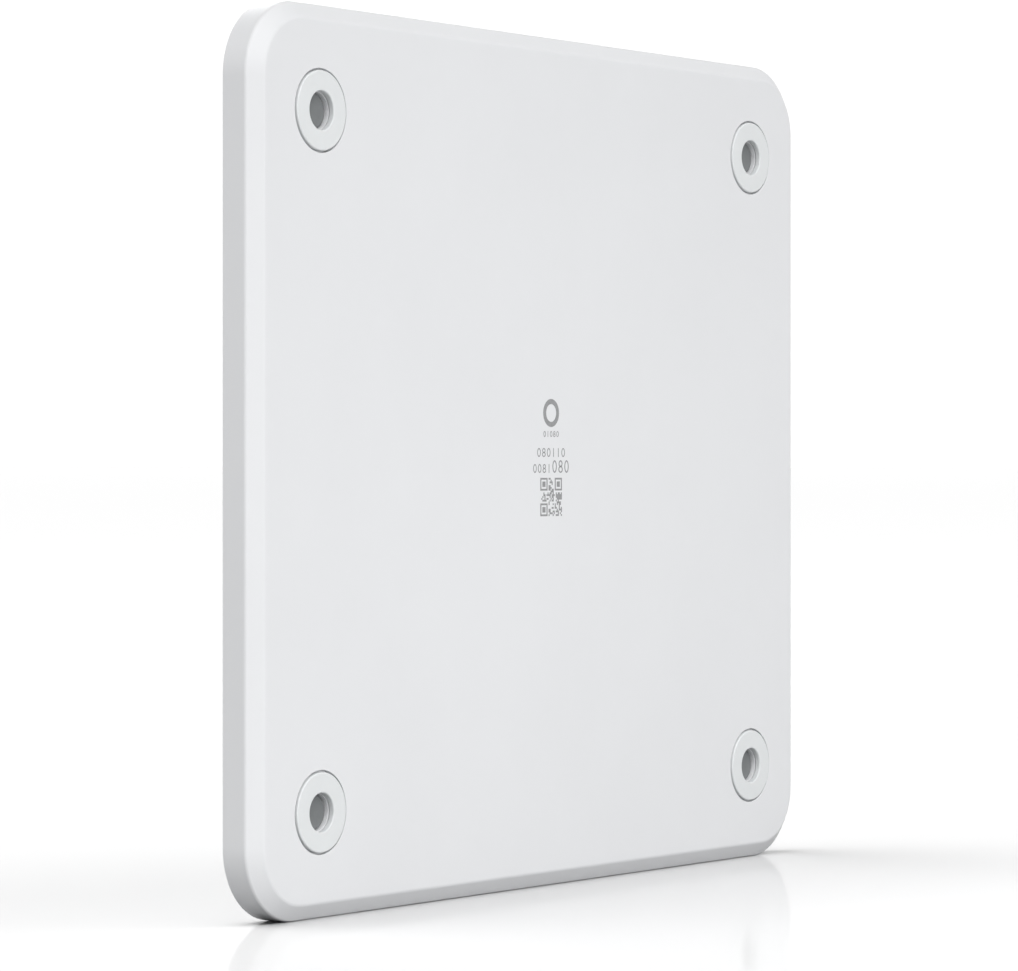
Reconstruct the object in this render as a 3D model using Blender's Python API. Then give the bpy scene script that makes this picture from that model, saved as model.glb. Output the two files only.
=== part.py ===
"""Ceiling access point: a slim rounded slab that is fastened by its plain rear face.

Frame: metres. X runs across the width, Z up the height, and Y from the rear
face (y = 0, looking towards -Y) to the room side. The origin is the middle of
the rear face. The network socket opens towards +X.
"""
import math

import bmesh
import bpy
from mathutils import Vector

# Fits
GAP = 0.0003                  # clearance between pieces that touch
SAME = 0.000001               # points closer than this are one point
SCREW_CLEARANCE = 0.0003      # round a screw's shank

# Body
BODY_WIDTH = 0.225
BODY_HEIGHT = 0.200
CORNER_RADIUS = 0.017
RIM_DEPTH = 0.0087            # rear face to the front edge of the rear shell
CHAMFER_WIDTH = 0.0036
CHAMFER_DEPTH = 0.0026
REAR_WALL = 0.0020
SIDE_WALL = 0.0022
CORNER_SEGMENTS = 8

# Front cover
COVER_INSET = 0.0010          # the cover starts this far inside the rear shell's side
CROWN_RUN = 0.026
CROWN_STEPS = 7
CROWN_ROUNDING = 0.6          # growth of the corner radius with the inset
COVER_WALL = 0.0018
COVER_CLEARANCE = 0.0016      # top of the socket to the cover's underside
LIP_DEPTH = 0.0030
LIP_WALL = 0.0016

# Corner pads, plugs and case screws
PAD_INSET = 0.0234            # body edge to the pad's centre
PAD_DIAMETER = 0.0176
PAD_THICKNESS = 0.0012
PAD_PROUD = 0.0003
PAD_HOLE = 0.0086
PAD_ROUNDING = 0.0003
COUNTERBORE = 0.0082
COUNTERBORE_DEPTH = 0.0050
PLUG_RECESS = 0.0019          # rear face to the plug's face
PLUG_THICKNESS = 0.0008
SHELL_BOSS_WALL = 0.0021
SHELL_BOSS_FLOOR = 0.0014
CASE_SHANK = 0.0030
CASE_HEAD = 0.0056
CASE_HEAD_HEIGHT = 0.0015
HEAD_ROUNDING = 0.0004
POINT_LENGTH = 0.0008
CASE_SCREW_REACH = 0.0065     # length of shank inside the cover's boss
COVER_BOSS_WALL = 0.0020
BOSS_ROOT_SHARE = 0.6         # how far up the crown the boss is rooted

# Port bay in the +X side
BAY_DEPTH = 0.024
BAY_WIDTH = 0.034
SILL_HEIGHT = 0.0004          # of the rear shell's sill over the chamfer
BEZEL_WALL = 0.0015

# Network socket
JACK_WIDTH = 0.0160
JACK_HEIGHT = 0.0106
JACK_LENGTH = 0.0210
JACK_SHEET = 0.0003
SOCKET_WIDTH = 0.0120
SOCKET_HEIGHT = 0.0070
SOCKET_DEPTH = 0.0140
LATCH_WIDTH = 0.0062
LATCH_HEIGHT = 0.0018
CONTACT_COUNT = 8
CONTACT_PITCH = 0.00102
CONTACT_WIRE = 0.00046
CONTACT_CARRIER = 0.0010
CONTACT_REACH = 0.0070
CONTACT_SLOPE = 0.0018

# Reset button
RESET_MARGIN = 0.0048         # side of the socket to the button's middle
RESET_DIAMETER = 0.0026
RESET_FLANGE = 0.0040
RESET_FLANGE_DEPTH = 0.0008
RESET_ROUNDING = 0.0003
RESET_PROUD = 0.0006
RESET_LENGTH = 0.0050
RESET_TRAVEL = 0.0005
SWITCH_SIZE = (0.0060, 0.0034, 0.0060)

# Heat spreader and boards
SPREADER_THICKNESS = 0.0010
SPREADER_MARGIN = 0.0030      # to the corner bosses and the side walls
SPREADER_ROUNDING = 0.004
BOARD_BACK = 0.0076           # rear face to the board
BOARD_THICKNESS = 0.0016
BOARD_HEIGHT = 0.100
BOARD_LEFT = -0.070
BOARD_ROUNDING = 0.002
POST_DIAMETER = 0.0062
POST_MARGIN = 0.0060          # board edge to the post's centre
BOARD_SHANK = 0.0025
BOARD_HEAD = 0.0048
BOARD_HEAD_HEIGHT = 0.0016
THERMAL_PAD = 0.0010
THERMAL_MARGIN = 0.0020
SHIELD_SHEET = 0.0003
CAPACITOR_RADIUS = 0.0031
CAPACITOR_HEIGHT = 0.0042

# Antennas and their leads
ANTENNA_X = 0.045
ANTENNA_SHEET = 0.0004
ANTENNA_BASE = (0.014, 0.008)
ANTENNA_TOP = (0.024, 0.011)
ANTENNA_RISE = 0.0010         # its top above the rim, under the crown
ANTENNA_MARGIN = 0.0020       # spreader's edge to the antenna's foot
LEAD_DIAMETER = 0.0012
LEAD_PLUG_DIAMETER = 0.0026
LEAD_PLUG_HEIGHT = 0.0014
LEAD_PLUG_X = 0.036
LEAD_PLUG_MARGIN = 0.008      # board edge to the plug's centre
LEAD_RISE = 0.0025            # how far outside the board's edge the lead climbs

# Status light
LIGHT_Z = -0.036
LIGHT_DIAMETER = 0.0030
LIGHT_FLANGE = 0.0050
LIGHT_FLANGE_HEIGHT = 0.0010
LED_SIZE = (0.0032, 0.0009, 0.0016)

# Places that follow from the sizes
half_width = BODY_WIDTH / 2
half_height = BODY_HEIGHT / 2
cover_base = RIM_DEPTH + GAP
jack_back = REAR_WALL + GAP
cover_inside = jack_back + JACK_HEIGHT + COVER_CLEARANCE
cover_face = cover_inside + COVER_WALL
crown_rise = cover_face - cover_base
lip_outer = SIDE_WALL + GAP
lip_inner = lip_outer + LIP_WALL
recess_floor = PAD_THICKNESS - PAD_PROUD + GAP
boss_top = COUNTERBORE_DEPTH + SHELL_BOSS_FLOOR
bay_face = half_width - BAY_DEPTH
sill = CHAMFER_DEPTH + SILL_HEIGHT
board_front = BOARD_BACK + BOARD_THICKNESS
part_on_board = board_front + GAP
spreader_back = REAR_WALL + GAP
spreader_front = spreader_back + SPREADER_THICKNESS
board_right = bay_face - BEZEL_WALL - GAP
spreader_top = half_height - lip_inner - CHAMFER_WIDTH - SPREADER_MARGIN
antenna_outer = spreader_top - ANTENNA_MARGIN
socket_base = jack_back + (JACK_HEIGHT - SOCKET_HEIGHT - LATCH_HEIGHT) / 2
jack_end = bay_face - JACK_LENGTH
reset_z = JACK_WIDTH / 2 + RESET_MARGIN
reset_y = part_on_board + SWITCH_SIZE[1] / 2
pad_x = half_width - PAD_INSET
pad_z = half_height - PAD_INSET
CORNERS = {
    "left_top": (-pad_x, pad_z),
    "right_top": (pad_x, pad_z),
    "left_bottom": (-pad_x, -pad_z),
    "right_bottom": (pad_x, -pad_z),
}


def material(name, colour, roughness, metallic=0.0):
    """A plain finish, shared by the pieces that name it."""
    existing = bpy.data.materials.get(name)
    if existing:
        return existing
    made = bpy.data.materials.new(name)
    made.use_nodes = True
    shader = made.node_tree.nodes["Principled BSDF"]
    shader.inputs["Base Color"].default_value = (*colour, 1.0)
    shader.inputs["Roughness"].default_value = roughness
    shader.inputs["Metallic"].default_value = metallic
    return made


def shell_white():
    return material("shell_white", (0.80, 0.81, 0.82), 0.42)


def pad_white():
    return material("pad_white", (0.76, 0.79, 0.79), 0.60)


def plug_grey():
    return material("plug_grey", (0.10, 0.105, 0.11), 0.65)


def bezel_grey():
    return material("bezel_grey", (0.62, 0.63, 0.64), 0.50)


def screw_steel():
    return material("screw_steel", (0.45, 0.45, 0.47), 0.35, 1.0)


def sheet_metal():
    return material("sheet_metal", (0.72, 0.72, 0.73), 0.30, 1.0)


def aluminium():
    return material("aluminium", (0.70, 0.71, 0.72), 0.40, 1.0)


def board_green():
    return material("board_green", (0.02, 0.16, 0.08), 0.45)


def chip_black():
    return material("chip_black", (0.03, 0.03, 0.03), 0.50)


def thermal_grey():
    return material("thermal_grey", (0.35, 0.38, 0.42), 0.80)


def socket_black():
    return material("socket_black", (0.02, 0.02, 0.02), 0.45)


def contact_gold():
    return material("contact_gold", (0.83, 0.60, 0.22), 0.25, 1.0)


def lead_black():
    return material("lead_black", (0.04, 0.04, 0.04), 0.45)


def light_clear():
    return material("light_clear", (0.88, 0.90, 0.92), 0.15)


def node(name, bm, finish):
    """Turn a bmesh into a named object with smooth rounds and crisp edges."""
    bmesh.ops.recalc_face_normals(bm, faces=bm.faces)
    mesh = bpy.data.meshes.new(name)
    bm.to_mesh(mesh)
    bm.free()
    mesh.shade_smooth()
    mesh.set_sharp_from_angle(angle=math.radians(35))
    piece = bpy.data.objects.new(name, mesh)
    bpy.context.scene.collection.objects.link(piece)
    mesh.materials.append(finish)
    return piece


def cutter(name, bm):
    """A guide solid that only shapes other pieces."""
    guide = node(name, bm, shell_white())
    guide.hide_render = True
    guide.display_type = "WIRE"
    return guide


def combine(piece, guide, operation):
    modifier = piece.modifiers.new(guide.name, "BOOLEAN")
    modifier.operation = operation
    modifier.solver = "EXACT"
    modifier.object = guide


def add_box(bm, low, high):
    """Add a box between two corners and return its vertices."""
    made = bmesh.ops.create_cube(bm, size=1.0)["verts"]
    low, high = Vector(low), Vector(high)
    bmesh.ops.scale(bm, vec=high - low, verts=made)
    bmesh.ops.translate(bm, vec=(low + high) / 2, verts=made)
    return made


def box(name, low, high, finish, bevel=0.0):
    """A box piece, with its edges broken where a bevel is given."""
    bm = bmesh.new()
    add_box(bm, low, high)
    if bevel:
        bmesh.ops.bevel(bm, geom=bm.edges[:], offset=bevel, segments=1, profile=0.5,
                        affect="EDGES", material=-1)
    return node(name, bm, finish)


def add_turned(bm, profile, centre, segments):
    """Spin a (radius, y) profile round a line along Y; it starts and ends as a flat disc."""
    x, z = centre
    points = [bm.verts.new((x + radius, y, z)) for radius, y in profile]
    edges = [bm.edges.new(pair) for pair in zip(points, points[1:])]
    bmesh.ops.spin(bm, geom=points + edges, cent=(x, 0, z), axis=(0, 1, 0),
                   angle=math.tau, steps=segments, use_merge=True)
    bmesh.ops.remove_doubles(bm, verts=bm.verts[:], dist=SAME)
    centres = [vert for vert in bm.verts if math.hypot(vert.co.x - x, vert.co.z - z) < SAME]
    bmesh.ops.dissolve_verts(bm, verts=centres)


def turned(name, profile, centre, finish, segments=32):
    bm = bmesh.new()
    add_turned(bm, profile, centre, segments)
    return node(name, bm, finish)


def add_turned_x(bm, profile, centre, segments):
    """Spin an open (radius, x) profile round a line along X; it starts and ends on the axis."""
    y, z = centre
    points = [bm.verts.new((x, y + radius, z)) for radius, x in profile]
    edges = [bm.edges.new(pair) for pair in zip(points, points[1:])]
    bmesh.ops.spin(bm, geom=points + edges, cent=(0, y, z), axis=(1, 0, 0),
                   angle=math.tau, steps=segments, use_merge=True)
    bmesh.ops.remove_doubles(bm, verts=bm.verts[:], dist=SAME)


def cylinder_profile(radius, y0, y1):
    return [(0, y0), (radius, y0), (radius, y1), (0, y1)]


def outline(width, height, radius, y):
    """Points round a rounded rectangle in the plane at y."""
    points = []
    for turn, (side_x, side_z) in enumerate(((1, 1), (-1, 1), (-1, -1), (1, -1))):
        centre = Vector((side_x * (width / 2 - radius), y, side_z * (height / 2 - radius)))
        for step in range(CORNER_SEGMENTS + 1):
            angle = math.pi / 2 * (turn + step / CORNER_SEGMENTS)
            points.append(centre + radius * Vector((math.cos(angle), 0, math.sin(angle))))
    return points


def loft(width, height, levels):
    """Skin rounded rectangles through (inset, y, corner radius) levels and cap both ends."""
    bm = bmesh.new()
    loops = []
    for inset, y, radius in levels:
        ring = outline(width - 2 * inset, height - 2 * inset, radius, y)
        loops.append([bm.verts.new(point) for point in ring])
    for near, far in zip(loops, loops[1:]):
        for index, first in enumerate(near):
            after = (index + 1) % len(near)
            bm.faces.new((first, near[after], far[after], far[index]))
    bm.faces.new(loops[0])
    bm.faces.new(loops[-1])
    return bm


def plate(name, low, high, radius, finish):
    """A flat plate between two corners, rounded at its four edges along Y."""
    width, height = high[0] - low[0], high[2] - low[2]
    bm = loft(width, height, [(0, low[1], radius), (0, high[1], radius)])
    middle = ((low[0] + high[0]) / 2, 0, (low[2] + high[2]) / 2)
    bmesh.ops.translate(bm, vec=middle, verts=bm.verts[:])
    return node(name, bm, finish)


def crown_levels(first_inset, base, drop=0.0):
    """The cover's crown from its rim to its flat middle: a quick rise that levels out."""
    levels = []
    for step in range(CROWN_STEPS + 1):
        share = step / CROWN_STEPS
        inset = first_inset + CROWN_RUN * share
        rise = (crown_rise - drop) * (1 - (1 - share) ** 2)
        levels.append((inset, base + rise, CORNER_RADIUS + CROWN_ROUNDING * inset))
    return levels


def bay_box(name, low_y, inner_x):
    """The space cut for the plug, open to +X and to the room."""
    bm = bmesh.new()
    add_box(bm, (inner_x, low_y, -BAY_WIDTH / 2), (BODY_WIDTH, cover_face * 2, BAY_WIDTH / 2))
    return cutter(name, bm)


def make_rear_shell():
    """The visible white tray with its chamfered back and four stepped corner holes."""
    inner_radius = CORNER_RADIUS - SIDE_WALL
    floor_inset = SIDE_WALL + CHAMFER_WIDTH / 2
    levels = [
        (CHAMFER_WIDTH, 0, CORNER_RADIUS - CHAMFER_WIDTH),
        (0, CHAMFER_DEPTH, CORNER_RADIUS),
        (0, RIM_DEPTH, CORNER_RADIUS),
        (SIDE_WALL, RIM_DEPTH, inner_radius),
        (SIDE_WALL, REAR_WALL + CHAMFER_DEPTH / 2, inner_radius),
        (floor_inset, REAR_WALL, CORNER_RADIUS - floor_inset),
    ]
    shell = node("rear_shell", loft(BODY_WIDTH, BODY_HEIGHT, levels), shell_white())

    bosses = bmesh.new()
    boss_radius = COUNTERBORE / 2 + SHELL_BOSS_WALL
    for centre in CORNERS.values():
        add_turned(bosses, cylinder_profile(boss_radius, REAR_WALL / 2, boss_top), centre, 32)
    for centre in post_places():
        profile = cylinder_profile(POST_DIAMETER / 2, REAR_WALL / 2, BOARD_BACK - GAP)
        add_turned(bosses, profile, centre, 20)
    combine(shell, cutter("shell_boss_guide", bosses), "UNION")

    holes = bmesh.new()
    recess = PAD_DIAMETER / 2 + GAP
    shank = CASE_SHANK / 2 + SCREW_CLEARANCE
    for centre in CORNERS.values():
        profile = [
            (0, -REAR_WALL), (recess, -REAR_WALL), (recess, recess_floor),
            (COUNTERBORE / 2, recess_floor), (COUNTERBORE / 2, COUNTERBORE_DEPTH),
            (shank, COUNTERBORE_DEPTH), (shank, boss_top + REAR_WALL), (0, boss_top + REAR_WALL),
        ]
        add_turned(holes, profile, centre, 48)
    for centre in post_places():
        radius = BOARD_SHANK / 2 + SCREW_CLEARANCE
        add_turned(holes, cylinder_profile(radius, REAR_WALL + GAP, board_front), centre, 16)
    combine(shell, cutter("shell_hole_guide", holes), "DIFFERENCE")
    combine(shell, bay_box("shell_bay_guide", sill, half_width - CHAMFER_WIDTH * 2), "DIFFERENCE")


def make_front_cover():
    """The room-side cover: a thin crowned skin with a lip that drops inside the rear shell."""
    outer = crown_levels(COVER_INSET, cover_base)
    lip_foot = cover_base - LIP_DEPTH
    levels = outer[::-1] + [
        (lip_outer, cover_base, CORNER_RADIUS - lip_outer),
        (lip_outer, lip_foot, CORNER_RADIUS - lip_outer),
        (lip_inner, lip_foot, CORNER_RADIUS - lip_inner),
    ] + inner_crown()
    cover = node("front_cover", loft(BODY_WIDTH, BODY_HEIGHT, levels), shell_white())

    boss_root = cover_base + BOSS_ROOT_SHARE * crown_rise
    bosses = bmesh.new()
    holes = bmesh.new()
    bore = CASE_SHANK / 2 + SCREW_CLEARANCE
    for centre in CORNERS.values():
        radius = bore + COVER_BOSS_WALL
        add_turned(bosses, cylinder_profile(radius, boss_top + GAP, boss_root), centre, 24)
        bore_end = boss_top + CASE_SCREW_REACH - GAP
        add_turned(holes, cylinder_profile(bore, boss_top - GAP, bore_end), centre, 20)
    light_hole = cylinder_profile(LIGHT_DIAMETER / 2 + GAP, board_front, cover_face + GAP)
    add_turned(holes, light_hole, (0, LIGHT_Z), 32)
    combine(cover, cutter("cover_boss_guide", bosses), "UNION")
    combine(cover, cutter("cover_hole_guide", holes), "DIFFERENCE")
    combine(cover, bay_box("cover_bay_guide", REAR_WALL, bay_face), "DIFFERENCE")


def inner_crown():
    """The underside of the cover, from its lip to its flat middle."""
    return crown_levels(lip_inner, cover_base, drop=COVER_WALL)


def make_inside_guide():
    """The room left inside the casing, less the clearance that every inner piece keeps."""
    inset = lip_inner + GAP
    radius = CORNER_RADIUS - inset
    levels = [(inset, REAR_WALL + GAP, radius), (inset, cover_base - LIP_DEPTH, radius)]
    for level_inset, y, level_radius in inner_crown():
        levels.append((level_inset + GAP, y - GAP, level_radius))
    return cutter("inside_guide", loft(BODY_WIDTH, BODY_HEIGHT, levels))


def make_corner_pieces(name, centre):
    """A pad ring in its recess, the plug in its hole, and the case screw behind the plug."""
    outer, hole, soft = PAD_DIAMETER / 2, PAD_HOLE / 2, PAD_ROUNDING
    face, seat = -PAD_PROUD, PAD_THICKNESS - PAD_PROUD
    bm = bmesh.new()
    x, z = centre
    loop = [
        (hole, seat), (hole, face + soft), (hole + soft * 0.3, face + soft * 0.3),
        (hole + soft, face), (outer - soft, face), (outer - soft * 0.3, face + soft * 0.3),
        (outer, face + soft), (outer, seat),
    ]
    points = [bm.verts.new((x + radius, y, z)) for radius, y in loop]
    edges = [bm.edges.new(pair) for pair in zip(points, points[1:] + points[:1])]
    bmesh.ops.spin(bm, geom=points + edges, cent=(x, 0, z), axis=(0, 1, 0),
                   angle=math.tau, steps=48, use_merge=True)
    node("pad_ring_" + name, bm, pad_white())

    plug = cylinder_profile(COUNTERBORE / 2 - GAP, PLUG_RECESS, PLUG_RECESS + PLUG_THICKNESS)
    turned("screw_plug_" + name, plug, centre, plug_grey(), 40)

    seat = COUNTERBORE_DEPTH - GAP
    top = seat - CASE_HEAD_HEIGHT
    tip = boss_top + CASE_SCREW_REACH - 2 * GAP
    screw = [
        (0, top), (CASE_HEAD / 2 - HEAD_ROUNDING, top), (CASE_HEAD / 2, top + HEAD_ROUNDING),
        (CASE_HEAD / 2, seat), (CASE_SHANK / 2, seat), (CASE_SHANK / 2, tip - POINT_LENGTH),
        (CASE_SHANK / 4, tip), (0, tip),
    ]
    turned("case_screw_" + name, screw, centre, screw_steel(), 20)


def post_places():
    """Centres of the four posts that carry the main board."""
    z = BOARD_HEIGHT / 2 - POST_MARGIN
    left, right = BOARD_LEFT + POST_MARGIN, board_right - POST_MARGIN
    return [(left, z), (right, z), (left, -z), (right, -z)]


def make_heat_spreader():
    """An aluminium plate under the board, with holes for the posts and a cut for the socket."""
    reach = pad_x - COUNTERBORE / 2 - SHELL_BOSS_WALL - SPREADER_MARGIN
    top = spreader_top
    low, high = (-reach, spreader_back, -top), (reach, spreader_front, top)
    spreader = plate("heat_spreader", low, high, SPREADER_ROUNDING, aluminium())
    holes = bmesh.new()
    for centre in post_places():
        profile = cylinder_profile(POST_DIAMETER / 2 + GAP, 0, BOARD_BACK)
        add_turned(holes, profile, centre, 20)
    edge = JACK_WIDTH / 2 + 2 * GAP
    add_box(holes, (jack_end - 2 * GAP, 0, -edge), (BODY_WIDTH, BOARD_BACK, edge))
    combine(spreader, cutter("spreader_guide", holes), "DIFFERENCE")


def make_main_board():
    """The circuit board on its posts, with a slot that the low socket sinks into."""
    half = BOARD_HEIGHT / 2
    low, high = (BOARD_LEFT, BOARD_BACK, -half), (board_right, board_front, half)
    board = plate("main_board", low, high, BOARD_ROUNDING, board_green())
    holes = bmesh.new()
    for centre in post_places():
        radius = BOARD_SHANK / 2 + SCREW_CLEARANCE
        add_turned(holes, cylinder_profile(radius, 0, cover_face), centre, 16)
    edge = JACK_WIDTH / 2 + GAP
    add_box(holes, (jack_end - GAP, 0, -edge), (BODY_WIDTH, cover_face, edge))
    combine(board, cutter("board_guide", holes), "DIFFERENCE")

    for index, centre in enumerate(post_places(), start=1):
        seat = board_front + GAP
        top = seat + BOARD_HEAD_HEIGHT
        profile = [
            (0, REAR_WALL + 2 * GAP), (BOARD_SHANK / 2, REAR_WALL + 2 * GAP),
            (BOARD_SHANK / 2, seat), (BOARD_HEAD / 2, seat), (BOARD_HEAD / 2, top - HEAD_ROUNDING),
            (BOARD_HEAD / 2 - HEAD_ROUNDING, top), (0, top),
        ]
        turned(f"board_screw_{index}", profile, centre, screw_steel(), 16)


def make_radio_stack(name, x, z, width, height, chip):
    """A chip under the board, its shield can, and the thermal pad to the heat spreader."""
    can_back = spreader_front + THERMAL_PAD + 2 * GAP
    can_front = BOARD_BACK - GAP
    half_x, half_z = width / 2, height / 2
    shield = box("shield_can_" + name, (x - half_x, can_back, z - half_z),
                 (x + half_x, can_front, z + half_z), sheet_metal())
    hollow = bmesh.new()
    inside = (half_x - SHIELD_SHEET, half_z - SHIELD_SHEET)
    add_box(hollow, (x - inside[0], can_back + SHIELD_SHEET, z - inside[1]),
            (x + inside[0], can_front + GAP, z + inside[1]))
    combine(shield, cutter("shield_guide_" + name, hollow), "DIFFERENCE")

    chip_back = can_back + SHIELD_SHEET + GAP
    box("chip_" + name, (x - chip / 2, chip_back, z - chip / 2),
        (x + chip / 2, can_front, z + chip / 2), chip_black())
    pad = chip / 2 + THERMAL_MARGIN
    box("thermal_pad_" + name, (x - pad, spreader_front + GAP, z - pad),
        (x + pad, can_back - GAP, z + pad), thermal_grey())


def make_board_parts():
    """What stands on the room side of the board."""
    room = cover_inside - GAP - part_on_board

    def block(name, x, z, width, depth, height, finish, bevel=0.0):
        depth = min(depth, room)
        box(name, (x - width / 2, part_on_board, z - height / 2),
            (x + width / 2, part_on_board + depth, z + height / 2), finish, bevel)

    beside_jack = jack_end - 0.014
    block("lan_transformer", beside_jack, 0, 0.012, 0.0034, 0.016, chip_black(), 0.0003)
    block("poe_transformer", beside_jack, 0.029, 0.018, 0.0044, 0.016, socket_black(), 0.0006)
    block("power_inductor", beside_jack, -0.028, 0.010, 0.0040, 0.010, thermal_grey(), 0.0008)
    block("memory_chip", -0.004, 0.014, 0.0135, 0.0011, 0.0080, chip_black())
    block("flash_chip", -0.004, -0.012, 0.0080, 0.0010, 0.0060, chip_black())
    block("status_led", 0, LIGHT_Z, LED_SIZE[0], LED_SIZE[1], LED_SIZE[2], light_clear())

    can_top = part_on_board + min(CAPACITOR_HEIGHT, room)
    radius = CAPACITOR_RADIUS
    profile = [
        (0, part_on_board), (radius, part_on_board), (radius, can_top - HEAD_ROUNDING),
        (radius - HEAD_ROUNDING, can_top), (0, can_top),
    ]
    turned("bulk_capacitor", profile, (beside_jack, -0.043), sheet_metal(), 24)


def make_light_pipe():
    """A clear pin from the light on the board to the cover's face, with a flange behind it."""
    flange_top = cover_inside - GAP
    flange_base = flange_top - LIGHT_FLANGE_HEIGHT
    radius = LIGHT_DIAMETER / 2
    profile = [
        (0, part_on_board + LED_SIZE[1] + GAP), (radius, part_on_board + LED_SIZE[1] + GAP),
        (radius, flange_base), (LIGHT_FLANGE / 2, flange_base), (LIGHT_FLANGE / 2, flange_top),
        (radius, flange_top), (radius, cover_face), (0, cover_face),
    ]
    turned("light_pipe", profile, (0, LIGHT_Z), light_clear(), 32)


def socket_opening(bm, inner_x, outer_x):
    """The socket's mouth: a plug-sized box with the narrower latch slot on the room side."""
    base = socket_base
    half = SOCKET_WIDTH / 2
    points = [
        (-half, base), (half, base), (half, base + SOCKET_HEIGHT),
        (LATCH_WIDTH / 2, base + SOCKET_HEIGHT),
        (LATCH_WIDTH / 2, base + SOCKET_HEIGHT + LATCH_HEIGHT),
        (-LATCH_WIDTH / 2, base + SOCKET_HEIGHT + LATCH_HEIGHT),
        (-LATCH_WIDTH / 2, base + SOCKET_HEIGHT), (-half, base + SOCKET_HEIGHT),
    ]
    face = bm.faces.new([bm.verts.new((inner_x, y, z)) for z, y in points])
    grown = bmesh.ops.extrude_face_region(bm, geom=[face])
    moved = [item for item in grown["geom"] if isinstance(item, bmesh.types.BMVert)]
    bmesh.ops.translate(bm, vec=(outer_x - inner_x, 0, 0), verts=moved)


def make_network_socket():
    """A low socket sunk into the board: metal shield, plastic body and eight contacts."""
    half = JACK_WIDTH / 2
    shield = box("jack_shield", (jack_end, jack_back, -half),
                 (bay_face, jack_back + JACK_HEIGHT, half), sheet_metal())
    hollow = bmesh.new()
    add_box(hollow, (jack_end - GAP, jack_back + JACK_SHEET, -half + JACK_SHEET),
            (bay_face - JACK_SHEET, jack_back + JACK_HEIGHT - JACK_SHEET, half - JACK_SHEET))
    combine(shield, cutter("jack_hollow_guide", hollow), "DIFFERENCE")
    mouth = bmesh.new()
    socket_opening(mouth, bay_face - 2 * JACK_SHEET, bay_face + JACK_SHEET)
    combine(shield, cutter("jack_mouth_guide", mouth), "DIFFERENCE")

    edge = JACK_SHEET + GAP
    front = bay_face - JACK_SHEET - GAP
    body = box("jack_body", (jack_end, jack_back + edge, -half + edge),
               (front, jack_back + JACK_HEIGHT - edge, half - edge), socket_black())
    cavity = bmesh.new()
    socket_opening(cavity, bay_face - SOCKET_DEPTH, bay_face)
    combine(body, cutter("jack_cavity_guide", cavity), "DIFFERENCE")
    make_contacts()


def make_contacts():
    """Eight sprung wires on one carrier at the closed end of the socket."""
    base = socket_base + GAP
    carrier_x = bay_face - SOCKET_DEPTH + GAP
    bm = bmesh.new()
    edge = -(CONTACT_COUNT - 1) / 2 * CONTACT_PITCH - CONTACT_WIRE / 2
    stations = []
    for index in range(CONTACT_COUNT):
        stations += [edge + index * CONTACT_PITCH, edge + index * CONTACT_PITCH + CONTACT_WIRE]
    for near, far in zip(stations, stations[1:]):
        low = (carrier_x, base, near)
        high = (carrier_x + CONTACT_CARRIER, base + CONTACT_WIRE, far)
        add_box(bm, low, high)
    bmesh.ops.remove_doubles(bm, verts=bm.verts[:], dist=SAME)
    inner = [face for face in bm.faces if abs(face.normal.z) > 0.9
             and abs(abs(face.calc_center_median().z) - abs(edge)) > SAME]
    bmesh.ops.delete(bm, geom=inner, context="FACES_ONLY")
    front = carrier_x + CONTACT_CARRIER
    wires = [face for face in bm.faces if abs(face.calc_center_median().x - front) < SAME
             and abs(abs(face.verts[0].co.z - face.verts[2].co.z) - CONTACT_WIRE) < SAME]
    grown = bmesh.ops.extrude_discrete_faces(bm, faces=wires)
    for face in grown["faces"]:
        bmesh.ops.translate(bm, vec=(CONTACT_REACH, CONTACT_SLOPE, 0), verts=face.verts[:])
    node("jack_contacts", bm, contact_gold())


def make_reset():
    """A sprung pin through the bezel, kept by its flange, and the switch that it presses."""
    inner = bay_face - BEZEL_WALL
    tip = bay_face + RESET_PROUD
    end = inner - RESET_LENGTH
    flange = inner - GAP
    radius = RESET_DIAMETER / 2
    profile = [
        (0, end), (radius, end), (radius, flange - RESET_FLANGE_DEPTH),
        (RESET_FLANGE / 2, flange - RESET_FLANGE_DEPTH), (RESET_FLANGE / 2, flange),
        (radius, flange), (radius, tip - RESET_ROUNDING), (radius - RESET_ROUNDING, tip), (0, tip),
    ]
    bm = bmesh.new()
    add_turned_x(bm, profile, (0, 0), 24)
    bmesh.ops.translate(bm, vec=(-tip, 0, 0), verts=bm.verts[:])
    button = node("reset_button", bm, bezel_grey())
    button.location = (tip, reset_y, reset_z)

    length, height, width = SWITCH_SIZE
    front = end - RESET_TRAVEL - GAP
    box("reset_switch", (front - length, part_on_board, reset_z - width / 2),
        (front, part_on_board + height, reset_z + width / 2), chip_black(), 0.0002)


def make_antennas():
    """Four stamped antennas on the spreader, each with a lead to a plug on the board."""
    for name, (x, z) in CORNERS.items():
        side_x, side_z = math.copysign(1, x), math.copysign(1, z)
        make_antenna(name, side_x, side_z)
        make_lead(name, side_x, side_z)


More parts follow.
